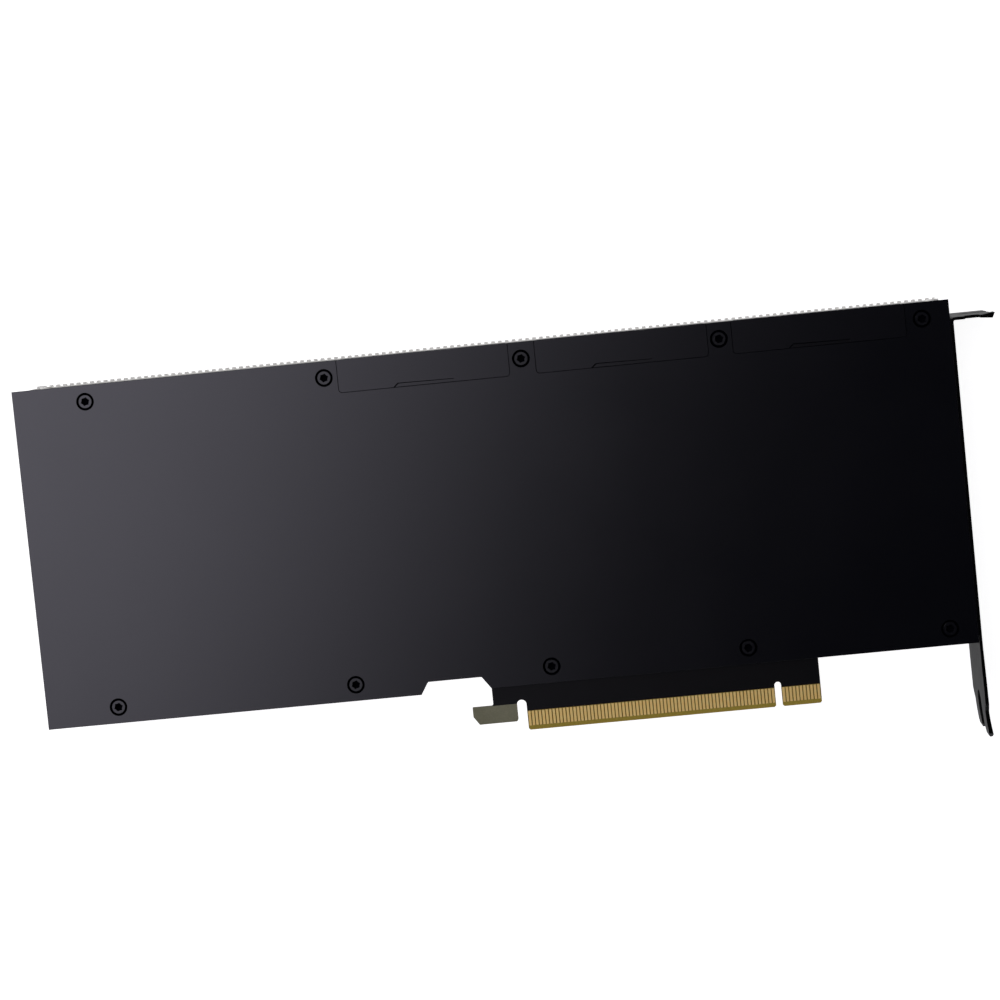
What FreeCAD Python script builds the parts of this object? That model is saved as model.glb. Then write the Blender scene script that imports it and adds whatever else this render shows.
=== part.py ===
import FreeCAD, Part
import math
import os
import Sketcher

# Two-slot, passively cooled accelerator card, lying on its ribbed cover.
#
# Card datum: X = 0 in the middle of the key notch, growing towards the bracket;
# Y = 0 at the bottom edge of the contacts, growing towards the bridge
# connectors; Z = 0 at the rib tops of the cover, growing towards the back plate.
# Every sub-part is modelled in the card datum and then placed by shift_x and
# shift_y, which bring the origin to the middle of the card's footprint.

V = FreeCAD.Vector
doc = FreeCAD.newDocument("AcceleratorCard")
sheet = doc.addObject("Spreadsheet::Sheet", "Dims")

ROWS = [
    # placement of the card datum in the part's frame
    ("shift_x", 69.62, "card datum to footprint centre, along the card"),
    ("shift_y", -48.2825, "card datum to footprint centre, across the card"),
    # levels above the rib tops
    ("board_low", 34.79, "component face of the board"),
    ("board_thick", 1.57, "board thickness"),
    ("plate_low", 37.83, "inner face of the back plate"),
    ("plate_thick", 1.2, "back plate sheet"),
    ("film_low", 37.68, "lower face of the insulating film"),
    # back plate outline
    ("plate_left", -209.89, "rear end of the plate"),
    ("plate_right", 57.95, "bracket end of the plate"),
    ("plate_bot", 13.345, "lower edge of the plate"),
    ("plate_top", 111.19, "upper edge of the plate"),
    ("relief_a", -101.62, "latch relief, lower left"),
    ("relief_b", -99.43, "latch relief, upper left"),
    ("relief_c", -84.01, "latch relief, upper right"),
    ("relief_d", -81.48, "latch relief, lower right"),
    ("relief_top", 16.88, "latch relief, upper edge"),
    ("edge_break", 0.07, "chamfer round the plate's outer face"),
    # plate screws
    ("col_one", -189.04, "screw column"),
    ("col_two", -120.14, "screw column"),
    ("col_three", -63.70, "screw column"),
    ("col_four", -7.34, "screw column"),
    ("col_five", 50.10, "screw column"),
    ("row_low", 18.06, "lower screw row"),
    ("row_high", 106.46, "upper screw row"),
    ("recess_rad", 2.55, "counterbore in the plate"),
    ("recess_floor", 37.4, "seat of the screw heads"),
    ("head_rad", 1.96, "screw head"),
    ("head_top", 38.98, "top of the screw heads"),
    ("shank_rad", 1.25, "screw shank"),
    ("plate_boss_rad", 3.1, "bosses under the plate"),
    ("frame_boss_rad", 2.6, "threaded bosses of the base frame"),
    # bridge windows and covers
    ("win_one", -91.75, "middle of the rear window"),
    ("win_two", -35.15, "middle of the middle window"),
    ("win_three", 20.9, "middle of the front window"),
    ("win_half", 24.55, "half width of a window"),
    ("win_floor", 101.77, "lower edge of a window"),
    ("cover_gap", 0.11, "gap round a cover"),
    ("pry_depth", 0.75, "depth of the pry recess"),
    ("pry_high", 1.15, "height of the pry recess at its slanted end"),
    ("pry_low", 0.93, "height of the pry recess at its other end"),
    # board outline
    ("brd_left", -206.5, "rear end of the board"),
    ("brd_right", 57.5, "bracket end of the board"),
    ("brd_bot", 13.9, "lower edge of the board"),
    ("brd_top", 108.8, "upper edge of the board"),
    ("tab_top", 110.2, "upper edge of the bridge tabs"),
    ("tab_half", 22.0, "half width of a bridge tab"),
    ("key_half", 0.95, "half width of the key notch"),
    ("key_mid", 6.25, "centre of the key notch's round end"),
    ("tongue_left", -72.1, "rear end of the contact tongue"),
    ("tongue_right", 12.15, "bracket end of the contact tongue"),
    ("hook_right", -74.85, "hook side of the U slot"),
    ("slot_mid", 7.88, "centre of the U slot's round end"),
    ("hook_in", -81.62, "inner corner of the hook"),
    ("hook_tip", -87.65, "tip of the hook"),
    ("hook_top", 7.9, "upper edge of the hook"),
    ("hook_bot", 2.82, "lower edge of the hook"),
    ("bevel_up", 1.25, "height of the contact bevel"),
    ("bevel_in", 0.42, "depth of the contact bevel"),
    # contacts
    ("pad_wide", 0.7, "width of a contact"),
    ("pad_pitch", 1.0, "contact pitch"),
    ("pad_low", 1.3, "lower end of the contacts"),
    ("pad_high", 5.5, "upper end of the contacts"),
    ("pad_thick", 0.04, "plating thickness"),
    # bracket
    ("brk_in", 58.02, "inner face of the bracket"),
    ("brk_out", 58.88, "outer face of the bracket"),
    ("brk_low", 0.10, "far edge of the bracket"),
    ("brk_high", 38.80, "near edge of the bracket"),
    ("tab_under", 105.12, "underside of the bracket's tab"),
    ("tab_end", 70.65, "outer end of the tab"),
    ("bend_in", 0.5, "inner bend radius of the tab"),
    ("finger_in", 66.55, "inner side of the tab's outer finger"),
    ("finger_drop", 0.32, "how far the finger hangs below the tab at its end"),
    ("finger_rise", 0.42, "how far the finger stands above the tab at its end"),
    # cover
    ("cvr_left", -209.25, "rear end of the ribbed cover"),
    ("cvr_right", 57.1, "bracket end of the ribbed cover"),
    ("cvr_bot", 13.6, "lower side of the ribbed cover"),
    ("cvr_top", 111.15, "upper side of the ribbed cover"),
    ("cvr_face", 1.65, "face thickness with ribs"),
    ("cvr_wall", 1.4, "side wall thickness with ribs"),
    ("cvr_round", 1.4, "outer corner radius"),
    ("ledge_top", 12.4, "ledge of the latch step in the cover's lower wall"),
    ("rib_pitch", 2.03, "rib pitch"),
    ("rib_gap", 0.95, "groove width"),
    ("rib_deep", 0.55, "groove depth"),
    ("rib_end", 2.2, "level where the ribs stop on the upper wall"),
    # cooler
    ("fin_low", 2.2, "free edge of the fins"),
    ("fin_root", 28.2, "root of the fins"),
    ("sole_top", 29.0, "top of the fin stack's sole"),
    ("fin_left", -184.0, "rear end of the fins"),
    ("fin_right", 50.0, "bracket end of the fins"),
    ("fin_thick", 0.4, "fin thickness"),
    ("fin_pitch", 2.2, "fin pitch"),
    ("fin_first", 19.6, "first fin"),
    ("fin_count", 41, "number of fins"),
    ("frame_top", 31.0, "top of the base frame's sheet"),
    ("rail_top", 33.2, "top of the rails over the power stages"),
    ("chamber_top", 31.2, "top of the vapour chamber's plate"),
    ("pedestal_top", 32.35, "top of the pedestal"),
    # processor
    ("proc_x", -61.0, "middle of the processor"),
    ("proc_y", 62.5, "middle of the processor"),
    ("proc_half", 27.5, "half side of the package"),
    ("proc_low", 33.29, "lower face of the package substrate"),
    ("die_low", 32.55, "lower face of the die"),
    ("post_off", 34.0, "retention screws from the middle"),
    # power socket
    ("sock_mouth", -209.0, "mouth of the power socket"),
    ("sock_back", -196.2, "back of the power socket"),
    ("sock_low", 24.99, "lower face of the power socket"),
    ("sock_mid", 93.0, "middle of the power socket"),
    ("sock_half", 9.0, "half width of the power socket"),
    ("sock_pitch", 4.2, "pin pitch"),
    # end frames
    ("rear_end", -209.3, "outer face of the rear frame"),
    ("rear_inner", -197.5, "inner face of the rear frame"),
    ("exh_inner", 53.0, "inner face of the exhaust frame"),
    ("ring_low", 1.65, "lower side of the end frames"),
    ("ring_high", 34.5, "upper side of the end frames"),
    ("ring_bot", 15.05, "lower end of the end frames"),
    ("ring_top", 109.7, "upper end of the end frames"),
]

val = {}
for i, (name, number, note) in enumerate(ROWS):
    r = str(i + 1)
    sheet.set("A" + r, name)
    sheet.set("B" + r, repr(number))
    sheet.set("C" + r, note)
    sheet.setAlias("B" + r, name)
    val[name] = float(number)
doc.recompute()


class Q:
    """A size: its value, and the expression that gives it from the sheet."""

    def __init__(self, v, t):
        self.v = float(v)
        self.t = t

    def __add__(self, o):
        o = q(o)
        return Q(self.v + o.v, "(%s + %s)" % (self.t, o.t))

    def __sub__(self, o):
        o = q(o)
        return Q(self.v - o.v, "(%s - %s)" % (self.t, o.t))

    def __mul__(self, o):
        o = q(o)
        return Q(self.v * o.v, "(%s * %s)" % (self.t, o.t))

    __radd__ = __add__
    __rmul__ = __mul__

    def __rsub__(self, o):
        return q(o) - self

    def __neg__(self):
        return Q(-self.v, "(0 - %s)" % self.t)


def q(x):
    return x if isinstance(x, Q) else Q(x, "(%.6f)" % x)


def D(name):
    return Q(val[name], "Dims." + name)


NODES = []


def new_body(label):
    b = doc.addObject("PartDesign::Body", "B_" + label)
    b.Label = label
    b.AllowCompound = True
    b.setExpression(".Placement.Base.x", "Dims.shift_x")
    b.setExpression(".Placement.Base.y", "Dims.shift_y")
    NODES.append(b)
    return b


def origin_of(b, role):
    return [o for o in b.Origin.OriginFeatures if o.Role == role][0]


def sketch(b, plane, offset, loops):
    """A sketch on one of the body's own origin planes, every point tied to the sheet."""
    s = b.newObject("Sketcher::SketchObject", "Sk")
    s.AttachmentSupport = [(origin_of(b, plane + "_Plane"), "")]
    s.MapMode = "FlatFace"
    off = q(offset)
    # the XZ plane's normal points along -Y
    s.setExpression(".AttachmentOffset.Base.z", (-off).t if plane == "XZ" else off.t)
    for loop in loops:
        if loop[0] == "poly":
            pts = [(q(a), q(c)) for a, c in loop[1]]
            first = s.GeometryCount
            n = len(pts)
            for i in range(n):
                a, c = pts[i]
                d, e = pts[(i + 1) % n]
                s.addGeometry(Part.LineSegment(V(a.v, c.v, 0), V(d.v, e.v, 0)), False)
            cons = []
            for i in range(n):
                cons.append(Sketcher.Constraint("Coincident", first + i, 2, first + (i + 1) % n, 1))
            base = s.ConstraintCount + n
            for i in range(n):
                a, c = pts[i]
                cons.append(Sketcher.Constraint("DistanceX", -1, 1, first + i, 1, a.v))
                cons.append(Sketcher.Constraint("DistanceY", -1, 1, first + i, 1, c.v))
            s.addConstraint(cons)
            for i in range(n):
                a, c = pts[i]
                if "Dims" in a.t:
                    s.setExpression("Constraints[%d]" % (base + 2 * i), a.t)
                if "Dims" in c.t:
                    s.setExpression("Constraints[%d]" % (base + 2 * i + 1), c.t)
        elif loop[0] == "circ":
            a, c, r = q(loop[1]), q(loop[2]), q(loop[3])
            g = s.addGeometry(Part.Circle(V(a.v, c.v, 0), V(0, 0, 1), r.v), False)
            base = s.ConstraintCount
            s.addConstraint([
                Sketcher.Constraint("DistanceX", -1, 1, g, 3, a.v),
                Sketcher.Constraint("DistanceY", -1, 1, g, 3, c.v),
                Sketcher.Constraint("Radius", g, r.v)])
            for k, e in enumerate((a, c, r)):
                if "Dims" in e.t:
                    s.setExpression("Constraints[%d]" % (base + k), e.t)
        elif loop[0] == "slot":
            # round-ended slot: centres (a, c) and (d, e), radius r, along one axis
            a, c, d, e, r = [q(k) for k in loop[1:6]]
            ux, uy = d.v - a.v, e.v - c.v
            ln = math.hypot(ux, uy)
            ux, uy = ux / ln, uy / ln
            nx, ny = -uy * r.v, ux * r.v
            g = s.GeometryCount
            s.addGeometry(Part.LineSegment(V(a.v - nx, c.v - ny, 0), V(d.v - nx, e.v - ny, 0)), False)
            s.addGeometry(Part.Arc(V(d.v - nx, e.v - ny, 0), V(d.v + ux * r.v, e.v + uy * r.v, 0), V(d.v + nx, e.v + ny, 0)), False)
            s.addGeometry(Part.LineSegment(V(d.v + nx, e.v + ny, 0), V(a.v + nx, c.v + ny, 0)), False)
            s.addGeometry(Part.Arc(V(a.v + nx, c.v + ny, 0), V(a.v - ux * r.v, c.v - uy * r.v, 0), V(a.v - nx, c.v - ny, 0)), False)
        elif loop[0] == "mixed":
            # straight runs and three-point arcs: ("L", p, q) and ("A", p, mid, q)
            for part in loop[1]:
                p = [V(k[0], k[1], 0) for k in part[1:]]
                if part[0] == "L":
                    s.addGeometry(Part.LineSegment(p[0], p[1]), False)
                else:
                    s.addGeometry(Part.Arc(p[0], p[1], p[2]), False)
    doc.recompute()
    return s


def rect(x0, y0, x1, y1):
    return ("poly", [(x0, y0), (x1, y0), (x1, y1), (x0, y1)])


def pad(b, plane, lo, hi, loops):
    """Material between the levels lo and hi along the plane's positive axis."""
    lo, hi = q(lo), q(hi)
    before = b.Shape.Volume if not b.Shape.isNull() else 0.0
    if plane == "XZ":
        s = sketch(b, plane, hi, loops)      # normal is -Y: start at the high side
    else:
        s = sketch(b, plane, lo, loops)
    f = b.newObject("PartDesign::Pad", "Pad")
    f.Profile = s
    f.setExpression("Length", (hi - lo).t)
    doc.recompute()
    if b.Shape.Volume <= before + 1e-9:
        raise RuntimeError(b.Label + ": a pad added nothing")
    return f


def pocket(b, plane, lo, hi, loops):
    """Removes what lies between the levels lo and hi along the plane's positive axis."""
    lo, hi = q(lo), q(hi)
    before = b.Shape.Volume
    if plane == "XZ":
        s = sketch(b, plane, lo, loops)      # a pocket runs against the normal, here +Y
    else:
        s = sketch(b, plane, hi, loops)
    f = b.newObject("PartDesign::Pocket", "Pocket")
    f.Profile = s
    f.setExpression("Length", (hi - lo).t)
    doc.recompute()
    if b.Shape.Volume >= before - 1e-9:
        raise RuntimeError(b.Label + ": a pocket cut nothing")
    return f


def row_of(b, feature, axis, spacing, count, axis2=None, spacing2=None, count2=None):
    f = b.newObject("PartDesign::LinearPattern", "Row")
    f.Originals = [feature]
    f.Direction = (origin_of(b, axis + "_Axis"), [""])
    spacing, count = q(spacing), q(count)
    f.setExpression("Length", (spacing * (count - 1)).t)
    f.setExpression("Occurrences", count.t)
    if axis2:
        f.Direction2 = (origin_of(b, axis2 + "_Axis"), [""])
        spacing2, count2 = q(spacing2), q(count2)
        f.setExpression("Length2", (spacing2 * (count2 - 1)).t)
        f.setExpression("Occurrences2", count2.t)
    b.Tip = f
    doc.recompute()
    return f


def edges_where(shape, test):
    out = []
    for i, e in enumerate(shape.Edges):
        if test(e):
            out.append("Edge%d" % (i + 1))
    return out


def dress(b, kind, size, test):
    """A fillet or chamfer on the edges that pass the test; left out if it would fail."""
    base = b.Tip
    names = edges_where(base.Shape, test)
    if not names:
        raise RuntimeError(b.Label + ": no edge found for a " + kind)
    f = b.newObject("PartDesign::" + kind, kind)
    f.Base = (base, names)
    f.setExpression("Radius" if kind == "Fillet" else "Size", q(size).t)
    doc.recompute()
    if "Invalid" in f.State or "Error" in f.State or f.Shape.isNull() or not f.Shape.isValid():
        raise RuntimeError(b.Label + ": " + kind + " failed")
    return f


def vertical_at(points, tol=0.02):
    """Edges parallel to Z that stand at one of the given X, Y points."""
    def test(e):
        if len(e.Vertexes) != 2 or e.Length < 1e-6:
            return False
        p, r = e.Vertexes[0].Point, e.Vertexes[1].Point
        if abs(p.x - r.x) > 1e-6 or abs(p.y - r.y) > 1e-6 or abs(p.z - r.z) < 1e-6:
            return False
        return any(abs(p.x - a) < tol and abs(p.y - c) < tol for a, c in points)
    return test


COLS = [D("col_one"), D("col_two"), D("col_three"), D("col_four"), D("col_five")]
LEVELS = [D("row_low"), D("row_high")]
SCREWS = [(c, r) for c in COLS for r in LEVELS]
WINS = [D("win_one"), D("win_two"), D("win_three")]
board_top = D("board_low") + D("board_thick")
plate_top_z = D("plate_low") + D("plate_thick")


# ---------------------------------------------------------------- back plate
b = new_body("back_plate")
outline = [(D("plate_left"), D("plate_bot")), (D("relief_a"), D("plate_bot")),
           (D("relief_b"), D("relief_top")), (D("relief_c"), D("relief_top")),
           (D("relief_d"), D("plate_bot")), (D("plate_right"), D("plate_bot")),
           (D("plate_right"), D("plate_top"))]
for w in reversed(WINS):
    outline += [(w + D("win_half"), D("plate_top")), (w + D("win_half"), D("win_floor")),
                (w - D("win_half"), D("win_floor")), (w - D("win_half"), D("plate_top"))]
outline += [(D("plate_left"), D("plate_top"))]
pad(b, "XY", D("plate_low"), plate_top_z, [("poly", outline)])
# rounded inner corners of the windows and of the latch relief
dress(b, "Fillet", 1.1, vertical_at(
    [((w + D("win_half")).v, val["win_floor"]) for w in WINS]
    + [((w - D("win_half")).v, val["win_floor"]) for w in WINS]))
dress(b, "Fillet", 0.6, vertical_at(
    [(val["relief_b"], val["relief_top"]), (val["relief_c"], val["relief_top"])]))


def plate_rim(e):
    z = val["plate_low"] + val["plate_thick"]
    if any(abs(v.Point.z - z) > 1e-6 for v in e.Vertexes):
        return False
    m = e.valueAt((e.FirstParameter + e.LastParameter) / 2)
    return abs(m.z - z) < 1e-6


# small chamfer all round the outer face, window edges included
dress(b, "Chamfer", D("edge_break"), plate_rim)
# bosses that stand on the board, the counterbores, and the clearance holes
pad(b, "XY", board_top, D("plate_low"), [("circ", x, y, D("plate_boss_rad")) for x, y in SCREWS])
pocket(b, "XY", D("recess_floor"), plate_top_z, [("circ", x, y, D("recess_rad")) for x, y in SCREWS])
pocket(b, "XY", board_top, D("recess_floor"), [("circ", x, y, D("shank_rad") + 0.15) for x, y in SCREWS])

# ------------------------------------------------------------ insulating film
b = new_body("insulating_film")
film = [(D("plate_left") + 1.4, D("relief_top") + 0.9), (D("plate_right") - 1.2, D("relief_top") + 0.9),
        (D("plate_right") - 1.2, D("plate_top") - 1.5), (WINS[2] + D("win_half") + 0.3, D("plate_top") - 1.5),
        (WINS[2] + D("win_half") + 0.3, D("win_floor") - 0.6), (WINS[0] - D("win_half") - 0.3, D("win_floor") - 0.6),
        (WINS[0] - D("win_half") - 0.3, D("plate_top") - 1.5), (D("plate_left") + 1.4, D("plate_top") - 1.5)]
pad(b, "XY", D("film_low"), D("plate_low"), [("poly", film)])
# each boss passes through the film, which stops short of it
pocket(b, "XY", D("film_low"), D("plate_low"), [("circ", x, y, D("plate_boss_rad") + 0.2) for x, y in SCREWS])

# -------------------------------------------------------------- circuit board
b = new_body("circuit_board")
edge = [(D("brd_left"), D("brd_bot")), (D("relief_a") - 0.6, D("brd_bot")),
        (D("relief_b") - 0.6, D("relief_top") + 0.5), (D("relief_c") - 0.2, D("relief_top") + 0.5),
        (D("hook_in"), D("plate_bot") - 0.1), (D("hook_in"), D("hook_top")),
        (D("hook_tip"), D("hook_top")), (D("hook_tip"), D("hook_bot") + 2.35),
        (D("hook_tip") + 1.65, D("hook_bot")), (D("hook_right"), D("hook_bot")),
        (D("hook_right"), (D("slot_mid") + 1.05)), (D("tongue_left"), (D("slot_mid") + 1.05)),
        (D("tongue_left"), 0), (-D("key_half"), 0), (-D("key_half"), D("key_mid") + D("key_half")),
        (D("key_half"), D("key_mid") + D("key_half")), (D("key_half"), 0), (D("tongue_right"), 0),
        (D("tongue_right"), D("plate_bot") + 0.35), (D("brd_right"), D("plate_bot") + 0.35),
        (D("brd_right"), D("brd_top"))]
for w in reversed(WINS):
    edge += [(w + D("tab_half"), D("brd_top")), (w + D("tab_half"), D("tab_top")),
             (w - D("tab_half"), D("tab_top")), (w - D("tab_half"), D("brd_top"))]
edge += [(D("brd_left"), D("brd_top"))]
pad(b, "XY", D("board_low"), board_top, [("poly", edge)])
# round ends of the U slot and of the key notch
dress(b, "Fillet", 1.36, vertical_at([
    (val["hook_right"], val["slot_mid"] + 1.05), (val["tongue_left"], val["slot_mid"] + 1.05)]))
dress(b, "Fillet", 0.94, vertical_at([
    (-val["key_half"], val["key_mid"] + val["key_half"]), (val["key_half"], val["key_mid"] + val["key_half"])]))
dress(b, "Fillet", 0.7, vertical_at([
    (val["hook_in"], val["hook_top"]), (val["hook_right"], val["hook_bot"]),
    (val["tongue_right"], val["plate_bot"] + 0.35)]))
dress(b, "Chamfer", 0.45, vertical_at([
    (val["tongue_left"], 0.0), (-val["key_half"], 0.0), (val["key_half"], 0.0), (val["tongue_right"], 0.0)]))
# bevels on both faces of the contact edge
for z0, z1, z2 in ((board_top, board_top - D("bevel_in"), board_top + 0.4),
                   (D("board_low"), D("board_low") + D("bevel_in"), D("board_low") - 0.4)):
    pocket(b, "YZ", D("tongue_left") - 0.2, D("tongue_right") + 0.2,
           [("poly", [(D("bevel_up"), z0), (D("bevel_up") + 0.0001, z2), (-0.5, z2),
                      (-0.5, z1 + (z1 - z0) * 0.4), (0, z1)])])
# holes: plate screws, retention screws, power pins
post = [(D("proc_x") + D("post_off") * i, D("proc_y") + D("post_off") * j) for i in (-1, 1) for j in (-1, 1)]
pin_y = [D("sock_mid") + D("sock_pitch") * k for k in (-1.5, -0.5, 0.5, 1.5)]
pin_x = [D("sock_back") + 1.7, D("sock_back") + 5.9]
pocket(b, "XY", D("board_low"), board_top,
       [("circ", x, y, D("shank_rad") + 0.25) for x, y in SCREWS]
       + [("circ", x, y, 1.3) for x, y in post]
       + [("circ", x, y, 0.85) for x in pin_x for y in pin_y])

# ---------------------------------------------------------- contacts, in gold
for label, z0, z1 in (("edge_contacts_back", board_top, board_top + D("pad_thick")),
                      ("edge_contacts_front", D("board_low") - D("pad_thick"), D("board_low"))):
    b = new_body(label)
    half = D("pad_wide") * 0.5
    # eleven contacts on the bracket side of the key, seventy-one beyond it
    for x, count in ((1.5, 11), (-71.5, 71)):
        one = pad(b, "XY", z0, z1, [rect(x - half, D("pad_low"), x + half, D("pad_high"))])
        row_of(b, one, "X", D("pad_pitch"), count)

b = new_body("bridge_contacts")
for z0, z1 in ((board_top, board_top + D("pad_thick")), (D("board_low") - D("pad_thick"), D("board_low"))):
    for w in WINS:
        x = w - D("pad_pitch") * 19.5
        one = pad(b, "XY", z0, z1, [rect(x - 0.3, D("tab_top") - 4.0, x + 0.3, D("tab_top") - 0.4)])
        row_of(b, one, "X", D("pad_pitch"), 40)

# ------------------------------------------------------------- bridge covers
for label, w in zip(("bridge_cover_rear", "bridge_cover_middle", "bridge_cover_front"), WINS):
    b = new_body(label)
    x0 = w - D("win_half") + D("cover_gap")
    x1 = w + D("win_half") - D("cover_gap")
    y0 = D("win_floor") + D("cover_gap")
    pad(b, "XY", D("plate_low"), plate_top_z, [rect(x0, y0, x1, D("plate_top"))])
    dress(b, "Fillet", 1.0, vertical_at([(x0.v, y0.v), (x1.v, y0.v)]))
    # feet that rest on the board beside the tab, and the clip round the tab
    pad(b, "XY", board_top, D("plate_low"),
        [rect(w - D("tab_half") - 1.8, y0 + 1.6, w - D("tab_half") - 0.6, D("brd_top") - 0.3),
         rect(w + D("tab_half") + 0.6, y0 + 1.6, w + D("tab_half") + 1.8, D("brd_top") - 0.3)])
    pad(b, "XY", D("board_low") - 2.4, D("plate_low"),
        [rect(x0 + 0.8, D("tab_top") + 0.15, x1 - 0.8, D("plate_top") - 0.04)])
    pad(b, "XY", D("board_low") - 2.4, D("board_low") - 1.6,
        [rect(w - D("tab_half") + 0.5, D("tab_top") - 4.6, w + D("tab_half") - 0.5, D("tab_top") + 0.15)])
    # thin lips under the plate close the gap at both ends
    pad(b, "XY", D("plate_low") - 0.2, D("plate_low"),
        [rect(x0 - 0.2, D("win_floor") + 2.0, x0 + 0.9, D("plate_top") - 0.02),
         rect(x1 - 0.9, D("win_floor") + 2.0, x1 + 0.2, D("plate_top") - 0.02)])
    # pry recess in the lower edge, slanted at its rear end
    hi, lo = D("win_floor") + D("pry_high"), D("win_floor") + D("pry_low")
    pocket(b, "XY", plate_top_z - D("pry_depth"), plate_top_z,
           [("poly", [(w - 9.0, y0 - 0.3), (w + 8.6, y0 - 0.3), (w + 8.6, lo), (w - 7.5, hi)])])
    # a fine groove runs along its slanted end and its inner edge
    pocket(b, "XY", plate_top_z - D("pry_depth") - 0.35, plate_top_z,
           [("poly", [(w - 9.2, y0 - 0.3), (w - 7.62, hi + 0.13), (w + 8.5, lo + 0.10),
                      (w + 8.5, lo - 0.08), (w - 7.42, hi - 0.13), (w - 8.8, y0 - 0.3)])])

# ---------------------------------------------------------------- plate screws
b = new_body("plate_screws")
pad(b, "XY", D("recess_floor"), D("head_top"), [("circ", x, y, D("head_rad")) for x, y in SCREWS])
dress(b, "Chamfer", 0.12, lambda e: e.Curve.TypeId == "Part::GeomCircle"
      and abs(e.Vertexes[0].Point.z - val["head_top"]) < 1e-6)
pad(b, "XY", D("frame_top") + 0.3, D("recess_floor"), [("circ", x, y, D("shank_rad")) for x, y in SCREWS])
pocket(b, "XY", D("head_top") - 1.3, D("head_top"), [("circ", x, y, 1.08) for x, y in SCREWS])
lobes = []
for x, y in SCREWS:
    for k in range(6):
        a = math.radians(60 * k + 15)
        lobes.append(("circ", x + 1.02 * math.cos(a), y + 1.02 * math.sin(a), 0.25))
pocket(b, "XY", D("head_top") - 1.25, D("head_top"), lobes)

# ------------------------------------------------- spring bracket, its screws
b = new_body("retention_spring")
px, py, o = D("proc_x"), D("proc_y"), D("post_off")
pad(b, "XY", board_top + 0.02, board_top + 0.8, [
    ("poly", [(px - o - 3, py - o + 1.8), (px - o - 3, py - o - 3), (px - o + 1.8, py - o - 3),
              (px - 14, py - 22), (px + 14, py - 22),
              (px + o - 1.8, py - o - 3), (px + o + 3, py - o - 3), (px + o + 3, py - o + 1.8),
              (px + 22, py - 14), (px + 22, py + 14),
              (px + o + 3, py + o - 1.8), (px + o + 3, py + o + 3), (px + o - 1.8, py + o + 3),
              (px + 14, py + 22), (px - 14, py + 22),
              (px - o + 1.8, py + o + 3), (px - o - 3, py + o + 3), (px - o - 3, py + o - 1.8),
              (px - 22, py + 14), (px - 22, py - 14)])])
pocket(b, "XY", board_top + 0.02, board_top + 0.8,
       [rect(px - 15, py - 15, px + 15, py + 15)] + [("circ", x, y, 1.15) for x, y in post])

b = new_body("retention_screws")
pad(b, "XY", board_top + 0.8, board_top + 1.25, [("circ", x, y, 2.3) for x, y in post])
pad(b, "XY", D("chamber_top") + 0.4, board_top + 0.8, [("circ", x, y, 1.0) for x, y in post])
pocket(b, "XY", board_top + 0.85, board_top + 1.25,
       [rect(x - 1.4, y - 0.2, x + 1.4, y + 0.2) for x, y in post])

# -------------------------------------------------------- processor and memory
b = new_body("package_substrate")
h = D("proc_half")
pad(b, "XY", D("proc_low"), D("board_low"), [rect(px - h, py - h, px + h, py + h)])
b = new_body("processor_die")
pad(b, "XY", D("die_low"), D("proc_low"), [rect(px - 13, py - 16.5, px + 13, py + 16.5)])
b = new_body("memory_stacks")
pad(b, "XY", D("die_low"), D("proc_low"),
    [rect(px + i * 17.6 - 4.0, py + j * 11.5 - 5.4, px + i * 17.6 + 4.0, py + j * 11.5 + 5.4)
     for i in (-1, 1) for j in (-1, 0, 1)])
b = new_body("stiffener_frame")
pad(b, "XY", D("proc_low") - 0.54, D("proc_low"), [rect(px - 27, py - 27, px + 27, py + 27),
                                                  rect(px - 23, py - 23, px + 23, py + 23)])
b = new_body("thermal_compound")
pad(b, "XY", D("pedestal_top"), D("die_low"), [rect(px - 21.6, py - 16.9, px + 21.6, py + 16.9)])

# ---------------------------------------------------------- power conversion
ROWY = [26.0 + 10.0 * k for k in range(8)]
SOCKET_CLEAR = [y for y in ROWY]
b = new_body("power_stages")
pad(b, "XY", D("board_low") - 0.8, D("board_low"),
    [rect(x - 2.5, y - 3.0, x + 2.5, y + 3.0) for x in (-117.0, -5.0) for y in SOCKET_CLEAR])
b = new_body("power_chokes")
pad(b, "XY", D("board_low") - 3.0, D("board_low"),
    [rect(x - 4.0, y - 4.0, x + 4.0, y + 4.0) for x in (-126.0, 4.0) for y in SOCKET_CLEAR])
dress(b, "Chamfer", 0.5, lambda e: abs(e.Vertexes[0].Point.z - e.Vertexes[1].Point.z) > 1.0)
b = new_body("capacitors")
pad(b, "XY", D("board_low") - 1.9, D("board_low"),
    [rect(x - 2.15, y - 3.65, x + 2.15, y + 3.65) for x in (-135.5, -142.5, 13.5, 20.5) for y in SOCKET_CLEAR])
b = new_body("control_chips")
pad(b, "XY", D("board_low") - 0.9, D("board_low"),
    [rect(30, 30, 38, 38), rect(31, 56, 37, 62), rect(29, 78, 39, 86), rect(-166, 40, -158, 48),
     rect(-164, 66, -159, 71)])
b = new_body("decoupling_capacitors")
one = pad(b, "XY", board_top, board_top + 0.5, [rect(px - 11.8, py - 10.6, px - 10.2, py - 9.8)])
row_of(b, one, "X", 4.4, 6, "Y", 3.4, 7)
b = new_body("thermal_pads")
pad(b, "XY", D("rail_top"), D("board_low") - 0.8,
    [rect(-120, 22.6, -114, 99.4), rect(-8, 22.6, -2, 99.4)])
pad(b, "XY", D("frame_top"), D("board_low") - 3.0,
    [rect(-130, 21.6, -122, 100.4), rect(0, 21.6, 8, 100.4)])

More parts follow.
